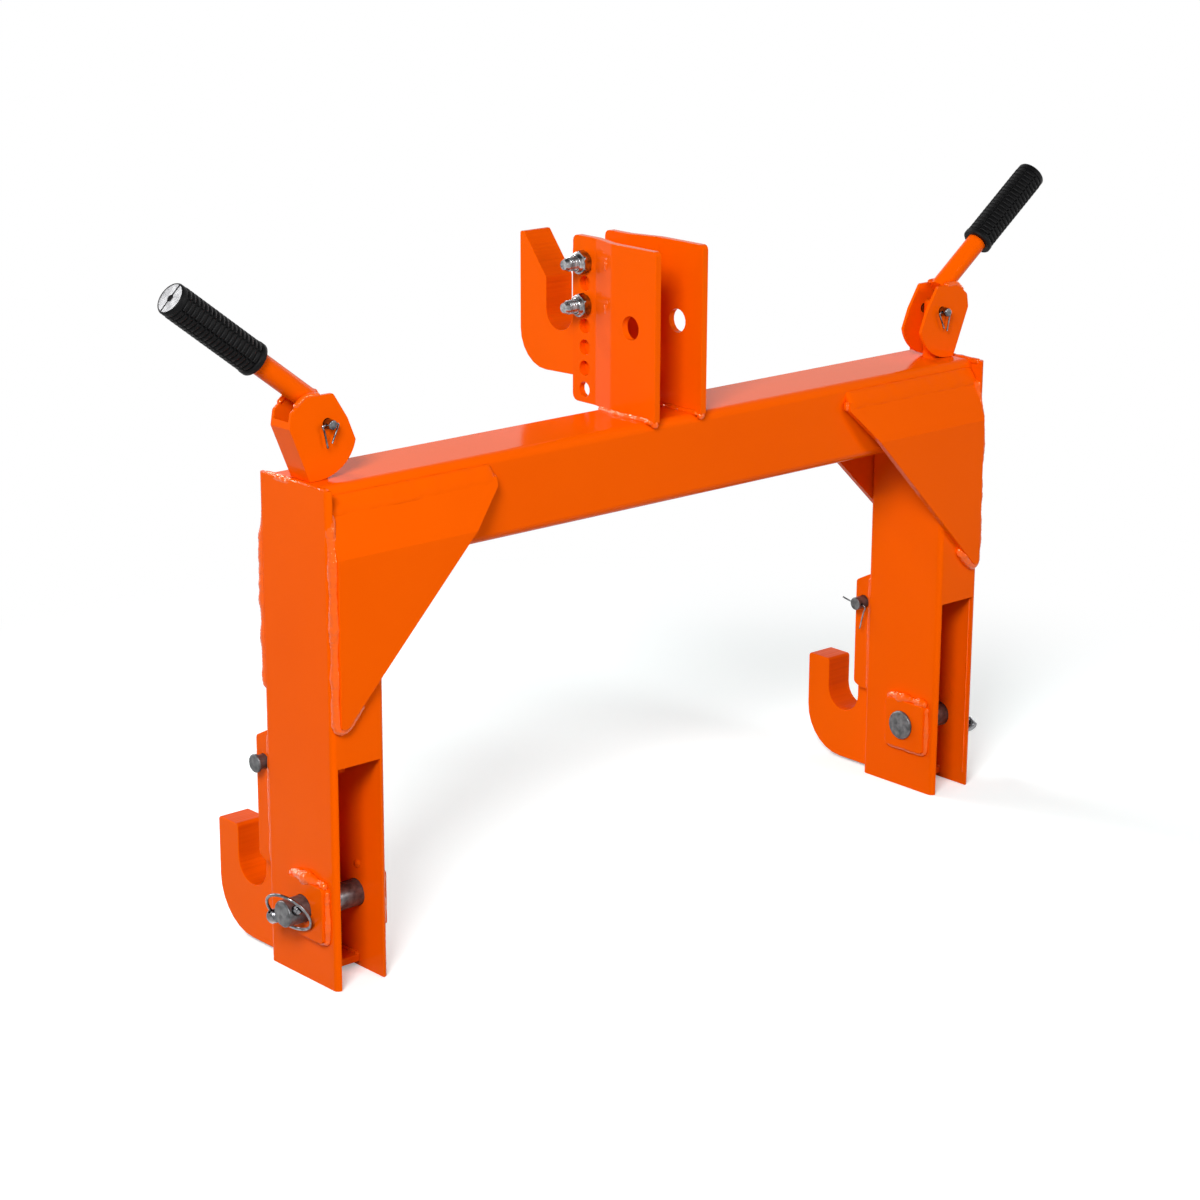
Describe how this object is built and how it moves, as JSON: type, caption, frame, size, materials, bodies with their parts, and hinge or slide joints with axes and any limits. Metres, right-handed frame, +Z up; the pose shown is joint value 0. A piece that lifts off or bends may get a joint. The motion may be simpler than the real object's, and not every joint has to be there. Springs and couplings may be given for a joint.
{
  "type": "three point quick hitch",
  "caption": "Arch shaped three point quick hitch with latching lower hooks, an adjustable top hook and swinging release handles",
  "frame": {"origin": "on the ground under the middle of the bounding box, with the legs standing on it", "axes": "+X along the cross tube from the left leg to the right one, +Y from the tractor's side to the implement's side, where the hooks are, +Z up"},
  "size_m": [0.955, 0.2008, 0.5658],
  "materials": {
    "orange_paint": "glossy orange powder coat",
    "zinc_steel": "grey zinc plate",
    "dark_steel": "oiled dark steel",
    "black_rubber": "matt black ribbed rubber"
  },
  "bodies": {
    "frame": {"cross_tube": "orange_paint", "left_leg": "orange_paint", "left_front_gusset": "orange_paint", "left_rear_gusset": "orange_paint", "left_lower_hook": "orange_paint", "left_outer_ear": "orange_paint", "left_inner_ear": "orange_paint", "left_outer_pin_pad": "orange_paint", "left_inner_pin_pad": "orange_paint", "left_tie_plate": "orange_paint", "left_mast_plate": "orange_paint", "left_link_pin": "zinc_steel", "left_linchpin": "zinc_steel", "left_latch_pin": "zinc_steel", "left_latch_pin_clip": "zinc_steel", "left_latch_spring": "dark_steel", "right_leg": "orange_paint", "right_front_gusset": "orange_paint", "right_rear_gusset": "orange_paint", "right_lower_hook": "orange_paint", "right_outer_ear": "orange_paint", "right_inner_ear": "orange_paint", "right_outer_pin_pad": "orange_paint", "right_inner_pin_pad": "orange_paint", "right_tie_plate": "orange_paint", "right_mast_plate": "orange_paint", "right_link_pin": "zinc_steel", "right_linchpin": "zinc_steel", "right_latch_pin": "zinc_steel", "right_latch_pin_clip": "zinc_steel", "right_latch_spring": "dark_steel", "top_hook": "orange_paint", "upper_hook_bolt": "zinc_steel", "upper_hook_nut": "zinc_steel", "lower_hook_bolt": "zinc_steel", "lower_hook_nut": "zinc_steel"},
    "left_rod": {"left_latch_rod": "orange_paint", "left_rod_pin": "zinc_steel"},
    "left_handle": {"left_handle_bracket": "orange_paint", "left_handle_bar": "orange_paint", "left_handle_grip": "black_rubber", "left_handle_pin": "zinc_steel", "left_handle_pin_clip": "zinc_steel"},
    "left_latch_crank": {"left_latch": "orange_paint"},
    "left_ring": {"left_snap_ring": "zinc_steel"},
    "right_rod": {"right_latch_rod": "orange_paint", "right_rod_pin": "zinc_steel"},
    "right_handle": {"right_handle_bracket": "orange_paint", "right_handle_bar": "orange_paint", "right_handle_grip": "black_rubber", "right_handle_pin": "zinc_steel", "right_handle_pin_clip": "zinc_steel"},
    "right_latch_crank": {"right_latch": "orange_paint"},
    "right_ring": {"right_snap_ring": "zinc_steel"}
  },
  "joints": [
    {"name": "left_rod_slide", "type": "slide", "parent": "frame", "child": "left_rod", "axis": [0, 0, -1], "range_m": [0, 0.016], "deforming": ["left_latch_spring"]},
    {"name": "left_handle_swing", "type": "hinge", "parent": "left_rod", "child": "left_handle", "pos_m": [-0.3415, -0.0501, 0.4463], "axis": [0, 1, 0], "range_deg": [0, 90]},
    {"name": "left_latch_swing", "type": "hinge", "parent": "frame", "child": "left_latch_crank", "pos_m": [-0.3415, 0.0035, 0.1645], "axis": [1, 0, 0], "range_deg": [0, 17]},
    {"name": "left_ring_flip", "type": "hinge", "parent": "frame", "child": "left_ring", "pos_m": [-0.3862, -0.04097, 0.05355], "axis": [0.5592, -0.3504, -0.7514], "range_deg": [0, 110], "stiffness_Nm_per_rad": 0.01},
    {"name": "right_rod_slide", "type": "slide", "parent": "frame", "child": "right_rod", "axis": [0, 0, -1], "range_m": [0, 0.016], "deforming": ["right_latch_spring"]},
    {"name": "right_handle_swing", "type": "hinge", "parent": "right_rod", "child": "right_handle", "pos_m": [0.3415, -0.0501, 0.4463], "axis": [0, -1, 0], "range_deg": [0, 90]},
    {"name": "right_latch_swing", "type": "hinge", "parent": "frame", "child": "right_latch_crank", "pos_m": [0.3415, 0.0035, 0.1645], "axis": [1, 0, 0], "range_deg": [0, 17]},
    {"name": "right_ring_flip", "type": "hinge", "parent": "frame", "child": "right_ring", "pos_m": [0.3862, -0.07516, 0.05008], "axis": [0.5592, 0.4943, -0.6656], "range_deg": [0, 110], "stiffness_Nm_per_rad": 0.01}
  ],
  "couplings": [
    {"joint": "left_rod_slide", "follows": "left_handle_swing", "m_per_rad": 0.010185},
    {"joint": "left_latch_swing", "follows": "left_handle_swing", "ratio": 0.1886},
    {"joint": "right_rod_slide", "follows": "right_handle_swing", "m_per_rad": 0.010185},
    {"joint": "right_latch_swing", "follows": "right_handle_swing", "ratio": 0.1886}
  ]
}
